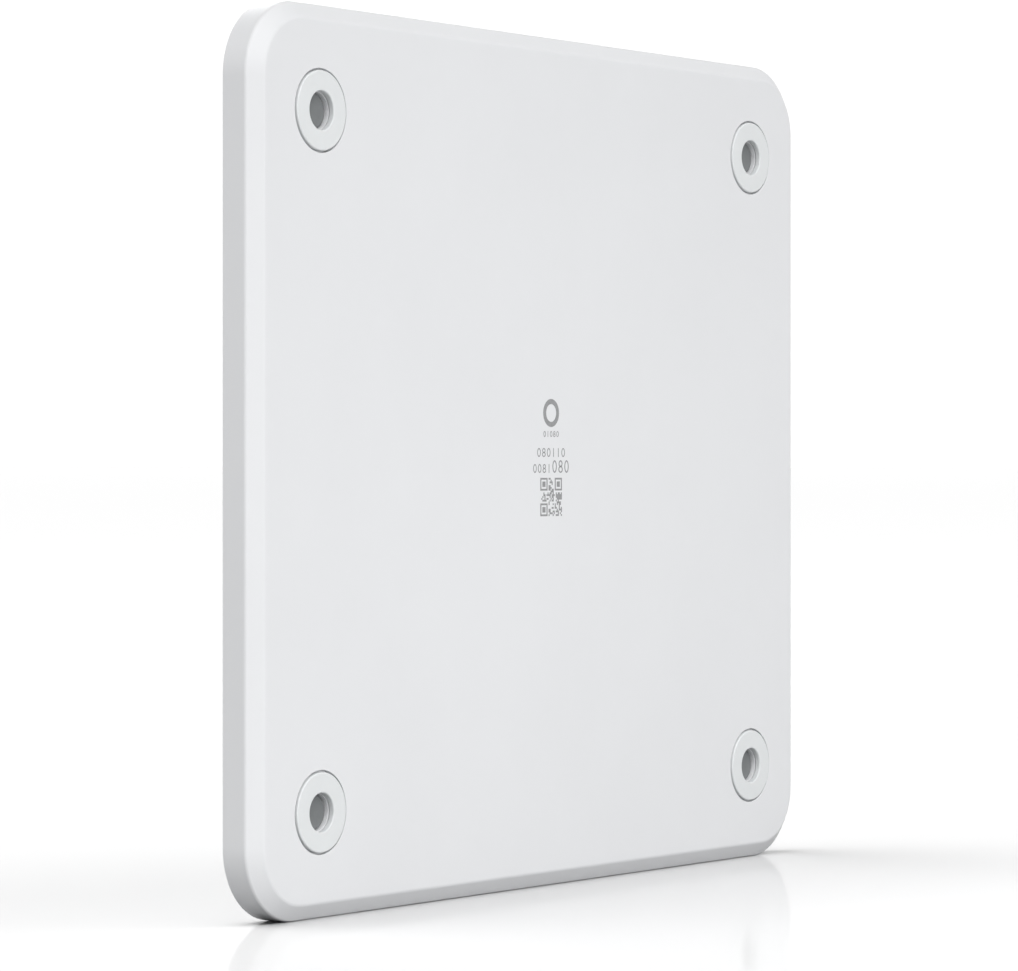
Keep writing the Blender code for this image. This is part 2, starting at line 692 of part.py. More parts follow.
def make_antenna(name, side_x, side_z):
    """A Z-shaped strip: a foot on the spreader, a riser, and a wider radiating top."""
    sheet = ANTENNA_SHEET
    foot_y = spreader_front + GAP
    top_y = cover_base + ANTENNA_RISE
    outer = antenna_outer
    inner = outer - ANTENNA_BASE[1]
    half = ANTENNA_BASE[0] / 2
    bm = bmesh.new()
    points = [
        (foot_y, outer), (foot_y, inner), (top_y, inner), (top_y, inner + ANTENNA_TOP[1]),
        (top_y - sheet, inner + ANTENNA_TOP[1]), (top_y - sheet, inner + sheet),
        (foot_y + sheet, inner + sheet), (foot_y + sheet, outer),
    ]
    face = bm.faces.new([bm.verts.new((-half, y, z)) for y, z in points])
    grown = bmesh.ops.extrude_face_region(bm, geom=[face])
    moved = [item for item in grown["geom"] if isinstance(item, bmesh.types.BMVert)]
    bmesh.ops.translate(bm, vec=(2 * half, 0, 0), verts=moved)
    top = [vert for vert in bm.verts if vert.co.y > top_y - 1.5 * sheet
           and vert.co.z > inner + 1.5 * sheet]
    bmesh.ops.scale(bm, vec=(ANTENNA_TOP[0] / ANTENNA_BASE[0], 1, 1), verts=top)
    bmesh.ops.scale(bm, vec=(1, 1, side_z), verts=bm.verts[:])
    bmesh.ops.translate(bm, vec=(side_x * ANTENNA_X, 0, 0), verts=bm.verts[:])
    node("antenna_" + name, bm, sheet_metal())


def make_lead(name, side_x, side_z):
    """The coaxial lead from an antenna's riser over the board's edge to its plug."""
    plug_z = side_z * (BOARD_HEIGHT / 2 - LEAD_PLUG_MARGIN)
    plug_top = part_on_board + LEAD_PLUG_HEIGHT
    profile = cylinder_profile(LEAD_PLUG_DIAMETER / 2, part_on_board, plug_top)
    turned("lead_plug_" + name, profile, (side_x * LEAD_PLUG_X, plug_z), contact_gold(), 16)

    radius = LEAD_DIAMETER / 2
    x = side_x * ANTENNA_X
    start_z = antenna_outer - ANTENNA_BASE[1] - GAP
    edge_z = BOARD_HEIGHT / 2
    over_y = part_on_board + radius + GAP
    start = Vector((x, spreader_front + radius + 3 * GAP, side_z * start_z))
    over = Vector((x, over_y, side_z * edge_z))
    route = [
        start,
        start.lerp(over, 0.15),
        Vector((x, over_y - 2 * radius, side_z * (edge_z + LEAD_RISE))),
        over,
        Vector((x, over_y, plug_z + side_z * LEAD_PLUG_MARGIN / 2)),
        Vector((x - side_x * 2 * radius, over_y, plug_z + side_z * radius)),
        Vector((side_x * (LEAD_PLUG_X + LEAD_PLUG_DIAMETER / 2 + GAP), over_y, plug_z)),
    ]
    curve = bpy.data.curves.new("antenna_lead_" + name, "CURVE")
    curve.dimensions = "3D"
    curve.bevel_depth = radius
    curve.bevel_resolution = 2
    curve.use_fill_caps = True
    points = smooth_route(route, 4)
    spline = curve.splines.new("POLY")
    spline.points.add(len(points) - 1)
    for slot, point in zip(spline.points, points):
        slot.co = (*point, 1)
    piece = bpy.data.objects.new("antenna_lead_" + name, curve)
    bpy.context.scene.collection.objects.link(piece)
    curve.materials.append(lead_black())


def smooth_route(route, steps):
    """Points along a smooth curve through a route, with a few between each pair."""
    padded = [route[0]] + route + [route[-1]]
    points = []
    for index in range(len(route) - 1):
        before, near, far, after = padded[index:index + 4]
        for step in range(steps):
            t = step / steps
            points.append(0.5 * (2 * near + (far - before) * t
                                 + (2 * before - 5 * near + 4 * far - after) * t ** 2
                                 + (3 * near - before - 3 * far + after) * t ** 3))
    return points + [route[-1]]


def make_port_bezel(inside):
    """The liner of the port bay: a back wall round the socket and two side walls."""
    half = BAY_WIDTH / 2
    outer = half + BEZEL_WALL
    back = bay_face - BEZEL_WALL
    bezel = box("port_bezel", (back, 0, -outer), (half_width, cover_face, outer), bezel_grey())
    bay = bmesh.new()
    add_box(bay, (bay_face, -GAP, -half), (BODY_WIDTH, cover_face * 2, half))
    combine(bezel, cutter("bezel_bay_guide", bay), "DIFFERENCE")
    window = bmesh.new()
    edge = JACK_WIDTH / 2 + GAP
    window_top = jack_back + JACK_HEIGHT + GAP
    add_box(window, (back - GAP, -GAP, -edge), (bay_face + GAP, window_top, edge))
    combine(bezel, cutter("bezel_window_guide", window), "DIFFERENCE")
    button_hole = bmesh.new()
    add_turned_x(button_hole, [(0, back - GAP), (RESET_DIAMETER / 2 + GAP, back - GAP),
                               (RESET_DIAMETER / 2 + GAP, bay_face + GAP), (0, bay_face + GAP)],
                 (reset_y, reset_z), 24)
    combine(bezel, cutter("bezel_button_guide", button_hole), "DIFFERENCE")
    combine(bezel, inside, "INTERSECT")


def build():
    for old in list(bpy.data.objects):
        bpy.data.objects.remove(old, do_unlink=True)
    make_rear_shell()
    make_front_cover()
    for name, centre in CORNERS.items():
        make_corner_pieces(name, centre)
    make_heat_spreader()
    make_main_board()
    make_radio_stack("processor", 0.002, 0.0, 0.036, 0.036, 0.020)
    make_radio_stack("radio_low", -0.044, 0.020, 0.034, 0.030, 0.014)
    make_radio_stack("radio_high", -0.044, -0.020, 0.034, 0.030, 0.014)
    make_board_parts()
    make_light_pipe()
    make_network_socket()
    make_port_bezel(make_inside_guide())
    make_reset()
    make_antennas()


build()
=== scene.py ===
import math
import random

import bmesh
import bpy
from mathutils import Matrix, Vector


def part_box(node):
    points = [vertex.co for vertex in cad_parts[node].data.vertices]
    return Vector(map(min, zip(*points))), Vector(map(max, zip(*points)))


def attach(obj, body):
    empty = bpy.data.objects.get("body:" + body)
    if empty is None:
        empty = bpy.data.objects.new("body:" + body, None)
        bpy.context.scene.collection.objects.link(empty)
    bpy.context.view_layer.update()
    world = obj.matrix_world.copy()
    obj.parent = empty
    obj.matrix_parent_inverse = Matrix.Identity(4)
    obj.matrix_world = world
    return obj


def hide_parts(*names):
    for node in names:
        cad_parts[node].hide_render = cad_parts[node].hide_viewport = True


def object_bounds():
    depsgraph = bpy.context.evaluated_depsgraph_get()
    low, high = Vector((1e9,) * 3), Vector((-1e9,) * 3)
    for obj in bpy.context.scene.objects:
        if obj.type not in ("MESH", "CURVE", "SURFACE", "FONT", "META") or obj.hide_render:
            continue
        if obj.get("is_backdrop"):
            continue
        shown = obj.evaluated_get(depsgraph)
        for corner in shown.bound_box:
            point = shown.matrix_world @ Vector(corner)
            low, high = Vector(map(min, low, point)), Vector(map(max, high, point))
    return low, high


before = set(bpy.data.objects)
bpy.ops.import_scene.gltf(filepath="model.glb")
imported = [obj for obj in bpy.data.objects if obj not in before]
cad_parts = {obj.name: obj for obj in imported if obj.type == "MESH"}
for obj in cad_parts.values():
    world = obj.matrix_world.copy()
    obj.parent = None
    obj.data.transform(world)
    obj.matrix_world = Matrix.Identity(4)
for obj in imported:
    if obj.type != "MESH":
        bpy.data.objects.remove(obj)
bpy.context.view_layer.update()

scene = bpy.context.scene
scene.view_settings.view_transform = "Standard"

# ---- Viewpoint ---------------------------------------------------------------------------
# The slab stands upright on its lower edge and is seen level from its left, with its
# mounting face towards the viewer.
rear_low, rear_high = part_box("rear_shell")
middle = (rear_low + rear_high) / 2

view_turn = math.radians(-55.15)
view_distance = 1.0099
view_sideways = 0.0099
lens_length = 151.84
lens_rise = -0.02363
back = Vector((math.sin(view_turn), -math.cos(view_turn), 0))
side = Vector((math.cos(view_turn), math.sin(view_turn), 0))
camera_data = bpy.data.cameras.new("camera")
camera_data.lens = lens_length
camera_data.sensor_width = 36
camera_data.shift_y = lens_rise
camera = bpy.data.objects.new("camera", camera_data)
scene.collection.objects.link(camera)
camera.location = Vector((middle.x, 0, middle.z)) + back * view_distance - side * view_sideways
camera.rotation_mode = "QUATERNION"
camera.rotation_quaternion = (-back).to_track_quat("-Z", "Y")
scene.camera = camera

# ---- Room and lamps ----------------------------------------------------------------------
# A room that looks pure white, directly and in the table's polish, but gives no light. The
# light comes from very wide, soft lamps, some for the slab alone and some for the table.
room_white = 1.06
world = bpy.data.worlds.new("white_room")
scene.world = world
world.use_nodes = True
world_nodes = world.node_tree.nodes
world_links = world.node_tree.links
background = world_nodes["Background"]
background.inputs["Strength"].default_value = 0.0
seen = world_nodes.new("ShaderNodeBackground")
seen.inputs["Color"].default_value = (1, 1, 1, 1)
seen.inputs["Strength"].default_value = room_white
path = world_nodes.new("ShaderNodeLightPath")
direct = world_nodes.new("ShaderNodeMath")
direct.operation = "MAXIMUM"
mix = world_nodes.new("ShaderNodeMixShader")
world_links.new(path.outputs["Is Camera Ray"], direct.inputs[0])
world_links.new(path.outputs["Is Glossy Ray"], direct.inputs[1])
world_links.new(direct.outputs[0], mix.inputs["Fac"])
world_links.new(background.outputs[0], mix.inputs[1])
world_links.new(seen.outputs[0], mix.inputs[2])
world_links.new(mix.outputs[0], world_nodes["World Output"].inputs["Surface"])

slab_only = bpy.data.collections.new("lit_by_slab_lamps")
table_only = bpy.data.collections.new("lit_by_table_lamps")
lamps = (
    # name, kind, direction or place, spread in degrees or width, what it lights, strength
    ("front_high_lamp", "SUN", (0.0, -0.45, 0.62), 50, slab_only, 0.49),
    ("front_lamp", "SUN", (0.0, -1.0, 0.15), 50, slab_only, 0.79),
    ("left_high_lamp", "SUN", (-0.6, -0.7, 0.7), 50, slab_only, 1.90),
    ("left_back_lamp", "SUN", (-1.0, 1.0, 0.5), 60, slab_only, 1.31),
    ("back_lamp", "SUN", (0.6, 1.0, 0.4), 50, slab_only, 1.70),
    ("low_lamp", "AREA", (-0.10, -0.42, -0.09), 0.3, slab_only, 0.97),
    ("table_front_lamp", "SUN", (-0.2, -0.6, 1.0), 50, table_only, 0.82),
    ("table_back_lamp", "SUN", (-0.3, 0.3, 1.0), 50, table_only, 2.32),
    ("table_right_lamp", "SUN", (0.75, -0.75, 0.8), 40, table_only, 0.90),
)
for name, kind, towards, spread, lights, strength in lamps:
    data = bpy.data.lights.new(name, kind)
    data.energy = strength
    if kind == "AREA":
        data.shape = "DISK"
        data.size = spread
    else:
        data.angle = math.radians(spread)
    lamp = bpy.data.objects.new(name, data)
    scene.collection.objects.link(lamp)
    lamp.location = towards if kind == "AREA" else (0, 0, 0)
    lamp.visible_glossy = kind != "AREA"
    lamp.rotation_mode = "QUATERNION"
    lamp.rotation_quaternion = Vector(towards).to_track_quat("Z", "Y")
    lamp.light_linking.receiver_collection = lights

# ---- Table -------------------------------------------------------------------------------
# A lacquered white table under the slab's lower edge, which mirrors it faintly. It throws
# only a little of its own light back up at the slab.
table_size = 60.0
table_clearance = 0.00002
lacquer_share = 0.25
lacquer_blur = 0.09
bm = bmesh.new()
bmesh.ops.create_grid(bm, x_segments=1, y_segments=1, size=table_size)
bmesh.ops.translate(bm, vec=(0, 0, rear_low.z - table_clearance), verts=bm.verts[:])
table_data = bpy.data.meshes.new("table_top")
bm.to_mesh(table_data)
bm.free()
table_top = bpy.data.objects.new("table_top", table_data)
scene.collection.objects.link(table_top)
table_white = bpy.data.materials.new("table_white")
table_white.use_nodes = True
table_nodes = table_white.node_tree.nodes
table_links = table_white.node_tree.links
table_nodes.clear()
paint = table_nodes.new("ShaderNodeBsdfDiffuse")
paint.inputs["Color"].default_value = (0.935, 0.935, 0.935, 1)
lacquer = table_nodes.new("ShaderNodeBsdfGlossy")
lacquer.inputs["Color"].default_value = (1, 1, 1, 1)
lacquer.inputs["Roughness"].default_value = lacquer_blur
coated = table_nodes.new("ShaderNodeMixShader")
coated.inputs["Fac"].default_value = lacquer_share
bounce = table_nodes.new("ShaderNodeBsdfDiffuse")
bounce.inputs["Color"].default_value = (0.33, 0.332, 0.335, 1)
ray = table_nodes.new("ShaderNodeLightPath")
bounced = table_nodes.new("ShaderNodeMixShader")
table_out = table_nodes.new("ShaderNodeOutputMaterial")
table_links.new(ray.outputs["Is Diffuse Ray"], bounced.inputs["Fac"])
table_links.new(coated.outputs[0], bounced.inputs[1])
table_links.new(bounce.outputs[0], bounced.inputs[2])
table_links.new(paint.outputs[0], coated.inputs[1])
table_links.new(lacquer.outputs[0], coated.inputs[2])
table_links.new(bounced.outputs[0], table_out.inputs["Surface"])
table_data.materials.append(table_white)
for lights, state in ((slab_only, "EXCLUDE"), (table_only, "INCLUDE")):
    lights.objects.link(table_top)
    lights.collection_objects[0].light_linking.link_state = state
table_top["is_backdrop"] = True

# ---- Rear shell --------------------------------------------------------------------------
# The white tray that carries everything: injection-moulded plastic with a fine satin
# texture, a chamfer round its flat mounting face, and a stepped hole at each corner.
corner_radius = 0.017
corner_steps = 24
chamfer_width = 0.0036
chamfer_depth = 0.0026
edge_softness = 0.0009
shell_wall = 0.0022
shell_floor = 0.0020
floor_cove = 0.0013
fit_gap = 0.0003
pad_gap = 0.00043
mouth_softness = 0.00018
recess_floor = 0.0012
counterbore = 0.0041
counterbore_end = 0.0050
boss_radius = 0.0062
boss_end = 0.0064
shank_hole = 0.0018
post_radius = 0.0031
post_hole = 0.00155
post_end = 0.0073
bay_half = 0.017
bay_sill = 0.0030
bay_wall = 0.0072
corner_names = ("left_top", "right_top", "left_bottom", "right_bottom")
body_width = rear_high.x - rear_low.x
body_height = rear_high.z - rear_low.z
same_place = 0.000001
overcut = 0.001
past_side = rear_high.x + 0.01
past_crown = 0.03


def centre_of(node):
    """The middle of a part's box."""
    low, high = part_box(node)
    return (low + high) / 2


def texture_group(name, inputs, outputs):
    """An empty shader group with the given inputs and varying outputs."""
    group = bpy.data.node_groups.new(name, "ShaderNodeTree")
    for label, kind, value in inputs:
        socket = group.interface.new_socket(name=label, in_out="INPUT", socket_type=kind)
        socket.default_value = value
    for label in outputs:
        group.interface.new_socket(name=label, in_out="OUTPUT", socket_type="NodeSocketFloat")
    nodes = group.nodes
    return group, nodes, group.links, nodes.new("NodeGroupInput"), nodes.new("NodeGroupOutput")


def make_moulded_grain():
    """Spark-eroded mould texture: fine pits, with a slow cloud in tone and in gloss."""
    group, nodes, links, given, out = texture_group(
        "moulded_grain",
        (("Grain", "NodeSocketFloat", 2400.0), ("Cloud", "NodeSocketFloat", 24.0)),
        ("Tone", "Gloss", "Height"))
    place = nodes.new("ShaderNodeTexCoord")
    cloud = nodes.new("ShaderNodeTexNoise")
    cloud.inputs["Detail"].default_value = 4.0
    cloud.inputs["Roughness"].default_value = 0.6
    fine = nodes.new("ShaderNodeTexNoise")
    fine.inputs["Detail"].default_value = 3.0
    fine.inputs["Roughness"].default_value = 0.65
    pits = nodes.new("ShaderNodeTexVoronoi")
    pits.feature = "SMOOTH_F1"
    pits.inputs["Smoothness"].default_value = 0.6
    links.new(place.outputs["Object"], cloud.inputs["Vector"])
    links.new(place.outputs["Object"], fine.inputs["Vector"])
    links.new(place.outputs["Object"], pits.inputs["Vector"])
    links.new(given.outputs["Cloud"], cloud.inputs["Scale"])
    links.new(given.outputs["Grain"], fine.inputs["Scale"])
    links.new(given.outputs["Grain"], pits.inputs["Scale"])
    relief = nodes.new("ShaderNodeMath")
    relief.operation = "MULTIPLY_ADD"
    relief.inputs[1].default_value = 0.5
    links.new(pits.outputs["Distance"], relief.inputs[0])
    links.new(fine.outputs["Fac"], relief.inputs[2])
    tone = nodes.new("ShaderNodeMapRange")
    tone.inputs["From Min"].default_value = 0.3
    tone.inputs["From Max"].default_value = 0.7
    links.new(cloud.outputs["Fac"], tone.inputs["Value"])
    speck = nodes.new("ShaderNodeMath")
    speck.operation = "MULTIPLY_ADD"
    speck.inputs[1].default_value = 0.35
    links.new(fine.outputs["Fac"], speck.inputs[0])
    links.new(tone.outputs["Result"], speck.inputs[2])
    gloss = nodes.new("ShaderNodeMath")
    gloss.operation = "MULTIPLY_ADD"
    gloss.inputs[1].default_value = 0.5
    links.new(tone.outputs["Result"], gloss.inputs[0])
    links.new(fine.outputs["Fac"], gloss.inputs[2])
    links.new(speck.outputs[0], out.inputs["Tone"])
    links.new(gloss.outputs[0], out.inputs["Gloss"])
    links.new(relief.outputs[0], out.inputs["Height"])
    return group


def lay_finish(name, effect, settings, colours, roughness, depth, fixed):
    """A finish whose tone, gloss and relief come from a texture group."""
    made = bpy.data.materials.new(name)
    made.use_nodes = True
    nodes, links = made.node_tree.nodes, made.node_tree.links
    shader = nodes["Principled BSDF"]
    texture = nodes.new("ShaderNodeGroup")
    texture.node_tree = effect
    for label, value in settings.items():
        texture.inputs[label].default_value = value
    tint = nodes.new("ShaderNodeMix")
    tint.data_type = "RGBA"
    tint.inputs["A"].default_value = (*colours[0], 1)
    tint.inputs["B"].default_value = (*colours[1], 1)
    links.new(texture.outputs["Tone"], tint.inputs["Factor"])
    links.new(tint.outputs["Result"], shader.inputs["Base Color"])
    gloss = nodes.new("ShaderNodeMapRange")
    gloss.inputs["From Min"].default_value = 0.3
    gloss.inputs["From Max"].default_value = 1.1
    gloss.inputs["To Min"].default_value = roughness[0]
    gloss.inputs["To Max"].default_value = roughness[1]
    links.new(texture.outputs["Gloss"], gloss.inputs["Value"])
    links.new(gloss.outputs["Result"], shader.inputs["Roughness"])
    relief = nodes.new("ShaderNodeBump")
    relief.inputs["Strength"].default_value = 0.6
    relief.inputs["Distance"].default_value = depth
    links.new(texture.outputs["Height"], relief.inputs["Height"])
    links.new(relief.outputs["Normal"], shader.inputs["Normal"])
    for label, value in fixed.items():
        shader.inputs[label].default_value = value
    return made


def lift(name, bm, finish):
    """Turn a bmesh into an object with its normals outwards."""
    bmesh.ops.remove_doubles(bm, verts=bm.verts[:], dist=same_place)
    bmesh.ops.recalc_face_normals(bm, faces=bm.faces[:])
    data = bpy.data.meshes.new(name)
    bm.to_mesh(data)
    bm.free()
    data.materials.append(finish)
    piece = bpy.data.objects.new(name, data)
    scene.collection.objects.link(piece)
    return piece


def cut(piece, guide, operation="DIFFERENCE"):
    """Join or cut a piece by a guide solid, for good, and remove the guide."""
    modifier = piece.modifiers.new("cut", "BOOLEAN")
    modifier.operation = operation
    modifier.solver = "EXACT"
    modifier.object = guide
    ready = piece.evaluated_get(bpy.context.evaluated_depsgraph_get())
    data = bpy.data.meshes.new_from_object(ready)
    piece.modifiers.clear()
    piece.data = data
    bpy.data.objects.remove(guide)


def shade(piece, sharp=35):
    """Smooth rounds between flats that stay flat."""
    piece.data.shade_smooth()
    piece.data.set_sharp_from_angle(angle=math.radians(sharp))
    even = piece.modifiers.new("even_shading", "WEIGHTED_NORMAL")
    even.keep_sharp = True
    return piece


def seat(piece, slot, *nodes, body="casing"):
    """Put a finished piece on its body, in place of its CAD nodes."""
    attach(piece, body)
    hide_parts(*nodes)
    return piece


def spin_round(bm, profile, x, z, steps=64):
    """Spin (radius, y) points round a line along Y; flat ends on the line become discs."""
    points = [bm.verts.new((x + radius, y, z)) for radius, y in profile]
    edges = [bm.edges.new(pair) for pair in zip(points, points[1:])]
    bmesh.ops.spin(bm, geom=points + edges, cent=(x, 0, z), axis=(0, 1, 0),
                   angle=math.tau, steps=steps, use_merge=True)
    bmesh.ops.remove_doubles(bm, verts=bm.verts[:], dist=same_place)
    hubs = [vert for vert in bm.verts if math.hypot(vert.co.x - x, vert.co.z - z) < same_place]
    bmesh.ops.dissolve_verts(bm, verts=hubs)


def rounded_block(width, height, low_y, high_y, radius, steps):
    """A block whose four edges along Y are rounded."""
    bm = bmesh.new()
    bmesh.ops.create_cube(bm, size=1.0)
    bmesh.ops.scale(bm, vec=(width, high_y - low_y, height), verts=bm.verts[:])
    bmesh.ops.translate(bm, vec=(0, (low_y + high_y) / 2, 0), verts=bm.verts[:])
    along = [edge for edge in bm.edges
             if abs(edge.verts[0].co.y - edge.verts[1].co.y) > (high_y - low_y) / 2]
    bmesh.ops.bevel(bm, geom=along, offset=radius, segments=steps, profile=0.5,
                    affect="EDGES", material=-1)
    return bm


def add_block(bm, low, high):
    """A plain block between two corners."""
    made = bmesh.ops.create_cube(bm, size=1.0)["verts"]
    low, high = Vector(low), Vector(high)
    bmesh.ops.scale(bm, vec=high - low, verts=made)
    bmesh.ops.translate(bm, vec=(low + high) / 2, verts=made)
    return made


def cap(bm, y):
    """The flat face that lies at a height along Y."""
    return [face for face in bm.faces
            if all(abs(vert.co.y - y) < same_place for vert in face.verts)]


moulded_grain = make_moulded_grain()
shell_white = lay_finish("shell_white", moulded_grain, {"Grain": 2600.0, "Cloud": 20.0},
                         ((0.715, 0.722, 0.735), (0.735, 0.742, 0.755)), (0.40, 0.50), 0.00002,
                         {"Specular IOR Level": 0.45})

bm = rounded_block(body_width, body_height, chamfer_depth, rear_high.y, corner_radius, corner_steps)
bmesh.ops.inset_region(bm, faces=cap(bm, chamfer_depth), thickness=chamfer_width,
                       depth=chamfer_depth, use_even_offset=True)
creases = [edge for edge in bm.edges
           if all(abs(vert.co.y) < same_place for vert in edge.verts)
           or all(abs(vert.co.y - chamfer_depth) < same_place for vert in edge.verts)]
bmesh.ops.bevel(bm, geom=creases, offset=edge_softness / 2, segments=4, profile=0.5,
                affect="EDGES", material=-1)
rim = cap(bm, rear_high.y)
bmesh.ops.inset_region(bm, faces=rim, thickness=shell_wall, use_even_offset=True)
inner = bmesh.ops.extrude_face_region(bm, geom=rim)["geom"]
bmesh.ops.delete(bm, geom=rim, context="FACES")
moved = [item for item in inner if isinstance(item, bmesh.types.BMVert)]
bmesh.ops.translate(bm, vec=(0, shell_floor + floor_cove - rear_high.y, 0), verts=moved)
tray = [item for item in inner if isinstance(item, bmesh.types.BMFace)]
bmesh.ops.inset_region(bm, faces=tray, thickness=chamfer_width / 2, depth=-floor_cove,
                       use_even_offset=True)
shell = lift("rear_shell_moulding", bm, shell_white)

bosses = bmesh.new()
holes = bmesh.new()
for name in corner_names:
    low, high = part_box("pad_ring_" + name)
    centre = (low + high) / 2
    recess = (high.x - low.x) / 2 + pad_gap
    spin_round(bosses, [(0, shell_floor / 2), (boss_radius, shell_floor / 2),
                        (boss_radius, boss_end), (0, boss_end)], centre.x, centre.z, 48)
    spin_round(holes, [
        (0, -overcut), (recess + mouth_softness, -overcut), (recess + mouth_softness, 0),
        (recess + mouth_softness * 0.3, mouth_softness * 0.3), (recess, mouth_softness),
        (recess, recess_floor), (counterbore, recess_floor), (counterbore, counterbore_end),
        (shank_hole, counterbore_end), (shank_hole, boss_end + overcut), (0, boss_end + overcut),
    ], centre.x, centre.z, 96)
for index in range(1, 5):
    centre = centre_of(f"board_screw_{index}")
    spin_round(bosses, [(0, shell_floor / 2), (post_radius, shell_floor / 2),
                        (post_radius, post_end), (0, post_end)], centre.x, centre.z, 32)
    spin_round(holes, [(0, shell_floor + fit_gap), (post_hole, shell_floor + fit_gap),
                       (post_hole, post_end + overcut), (0, post_end + overcut)],
               centre.x, centre.z, 24)
cut(shell, lift("boss_guide", bosses, shell_white), "UNION")
cut(shell, lift("hole_guide", holes, shell_white))
bay = bmesh.new()
add_block(bay, (rear_high.x - bay_wall, bay_sill, -bay_half), (past_side, past_crown, bay_half))
cut(shell, lift("bay_guide", bay, shell_white))
seat(shade(shell, 30), "shell_white", "rear_shell")

# ---- Corner pads -------------------------------------------------------------------------
# Four pale rings of soft elastomer pressed into round recesses. They grip the bracket or
# ceiling, and each has a hole for the head of a mounting screw.
pad_bore = 0.0043
pad_softness = 0.00032
pad_turn = [math.radians(22.5 * step) for step in range(5)]
pad_white = lay_finish("pad_white", moulded_grain, {"Grain": 3800.0, "Cloud": 90.0},
                       ((0.698, 0.715, 0.720), (0.722, 0.740, 0.745)), (0.55, 0.68), 0.000012,
                       {"Specular IOR Level": 0.35})
for name in corner_names:
    low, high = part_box("pad_ring_" + name)
    centre = (low + high) / 2
    pad_radius = (high.x - low.x) / 2
    round_off = [(pad_softness * (1 - math.cos(angle)),
                  low.y + pad_softness * (1 - math.sin(angle))) for angle in pad_turn]
    ring = [(pad_bore + across, y) for across, y in round_off]
    ring += [(pad_radius - across, y) for across, y in reversed(round_off)]
    ring += [(pad_radius, high.y), (pad_bore, high.y), ring[0]]
    bm = bmesh.new()
    spin_round(bm, ring, centre.x, centre.z, 96)
    seat(shade(lift("pad_" + name, bm, pad_white)), "pad_white", "pad_ring_" + name)

# ---- Screw plugs -------------------------------------------------------------------------
# Dark grey elastomer discs pushed into the counterbores, which cover the case screws. Each
# has a soft rim and a shallow dish.
plug_dish = 0.00015
plug_round = 0.0002
plug_grey = lay_finish("plug_grey", moulded_grain, {"Grain": 3000.0, "Cloud": 160.0},
                       ((0.150, 0.158, 0.161), (0.185, 0.194, 0.197)), (0.55, 0.70), 0.00002,
                       {"Specular IOR Level": 0.3})
for name in corner_names:
    low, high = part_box("screw_plug_" + name)
    centre = (low + high) / 2
    radius = (high.x - low.x) / 2
    bm = bmesh.new()
    spin_round(bm, [
        (0, low.y + plug_dish), (radius * 0.70, low.y + plug_dish), (radius * 0.82, low.y),
        (radius * 0.94, low.y), (radius * 0.985, low.y + plug_round * 0.4),
        (radius, low.y + plug_round),
        (radius, high.y), (0, high.y),
    ], centre.x, centre.z, 64)
    seat(shade(lift("plug_" + name, bm, plug_grey)), "plug_grey", "screw_plug_" + name)

# ---- Print on the mounting face ----------------------------------------------------------
# Thin grey ink, pad-printed on the flat face: a plain ring, three short lines of digits and
# a small square code. It is raised by the thickness of the ink only.
ink_thickness = 0.00002
ink_lift = 0.000005
ring_centre = 0.0114
ring_width = 0.0066
ring_stroke = 0.0012
digit_lines = (
    # digits, left end, pitch, foot, height, stroke
    ("01080", -0.00335, 0.00134, 0.00575, 0.0014, 0.00020),
    ("080110", -0.00605, 0.002015, 0.00105, 0.0021, 0.00026),
    ("0081", -0.0077, 0.00195, -0.0027, 0.0021, 0.00026),
    ("080", 0.0002, 0.0025, -0.0027, 0.0030, 0.00034),
)
code_centre = -0.00835
code_size = 0.0090
code_cells = 21
corner_square = 7
print_grey = lay_finish("print_grey", moulded_grain, {"Grain": 5200.0, "Cloud": 900.0},
                        ((0.240, 0.242, 0.246), (0.310, 0.312, 0.316)), (0.55, 0.70), 0.000004,
                        {"Specular IOR Level": 0.3})
ink = bmesh.new()


def lay_ring(bm, x, z, width, height, stroke):
    """A printed oval ring."""
    made = bmesh.ops.create_circle(bm, cap_ends=True, segments=32, radius=height / 2)["verts"]
    bmesh.ops.scale(bm, vec=(width / height, 1, 1), verts=made)
    face = made[0].link_faces[0]
    bmesh.ops.translate(bm, vec=(x, z, 0), verts=made)
    face.normal_update()
    bmesh.ops.inset_region(bm, faces=[face], thickness=stroke, use_boundary=True,
                           use_even_offset=True)
    bmesh.ops.delete(bm, geom=[face], context="FACES_ONLY")


def lay_bar(bm, x, z, width, height):
    """A printed upright bar."""
    made = bmesh.ops.create_grid(bm, x_segments=1, y_segments=1, size=0.5)["verts"]
    bmesh.ops.scale(bm, vec=(width, height, 1), verts=made)
    bmesh.ops.translate(bm, vec=(x, z, 0), verts=made)


def lay_digits(bm, digits, start, pitch, base, height, stroke):
    """A line of plain digits: 0 is a ring, 1 is a bar and 8 is two rings."""
    for place, digit in enumerate(digits):
        x = start + (place + 0.5) * pitch
        if digit == "0":
            lay_ring(bm, x, base + height / 2, pitch * 0.72, height, stroke)
        elif digit == "1":
            lay_bar(bm, x, base + height / 2, stroke, height)
        else:
            half = (height + stroke) / 2
            lay_ring(bm, x, base + half / 2, pitch * 0.72, half, stroke)
            lay_ring(bm, x, base + height - half / 2, pitch * 0.64, half, stroke)


lay_ring(ink, 0, ring_centre, ring_width, ring_width, ring_stroke)
for line in digit_lines:
    lay_digits(ink, *line)

